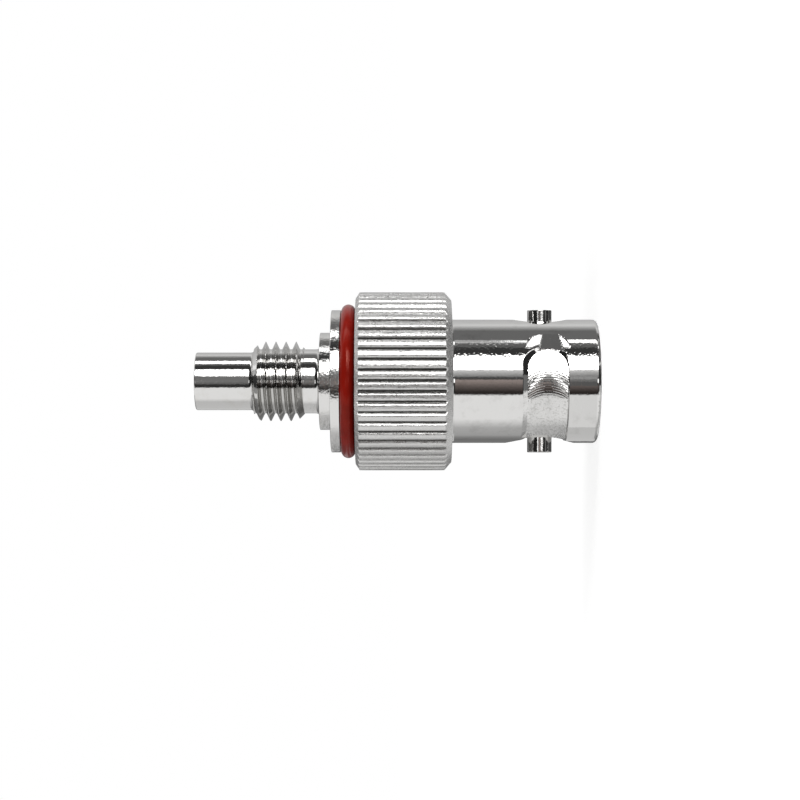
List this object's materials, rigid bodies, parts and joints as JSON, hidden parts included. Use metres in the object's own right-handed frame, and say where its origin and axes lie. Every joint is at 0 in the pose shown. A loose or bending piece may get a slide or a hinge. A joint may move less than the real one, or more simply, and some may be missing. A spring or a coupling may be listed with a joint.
{
  "type": "coax adapter",
  "caption": "Straight coax adapter: bayonet jack barrel with two lugs, knurled grip collar with a red sealing ring, and a threaded plug tube with a centre pin.",
  "frame": {"origin": "centre of the bayonet barrel's rim, on the surface that the adapter stands on", "axes": "+Z along the axis from the bayonet rim to the plug tube's end, +X through the bayonet lug with the shallower pocket"},
  "size_m": [0.0138, 0.0138, 0.0312],
  "materials": {
    "nickel_plug": "gloss",
    "nickel_shell": "polished",
    "red_silicone": "satin",
    "white_ptfe": "satin",
    "gold_plate": "gloss"
  },
  "bodies": {
    "root": {"plug_body": "nickel_plug", "bayonet_shell": "nickel_shell", "o_ring": "red_silicone", "socket_insulator": "white_ptfe", "plug_insulator": "white_ptfe", "centre_contact": "gold_plate"}
  },
  "joints": []
}
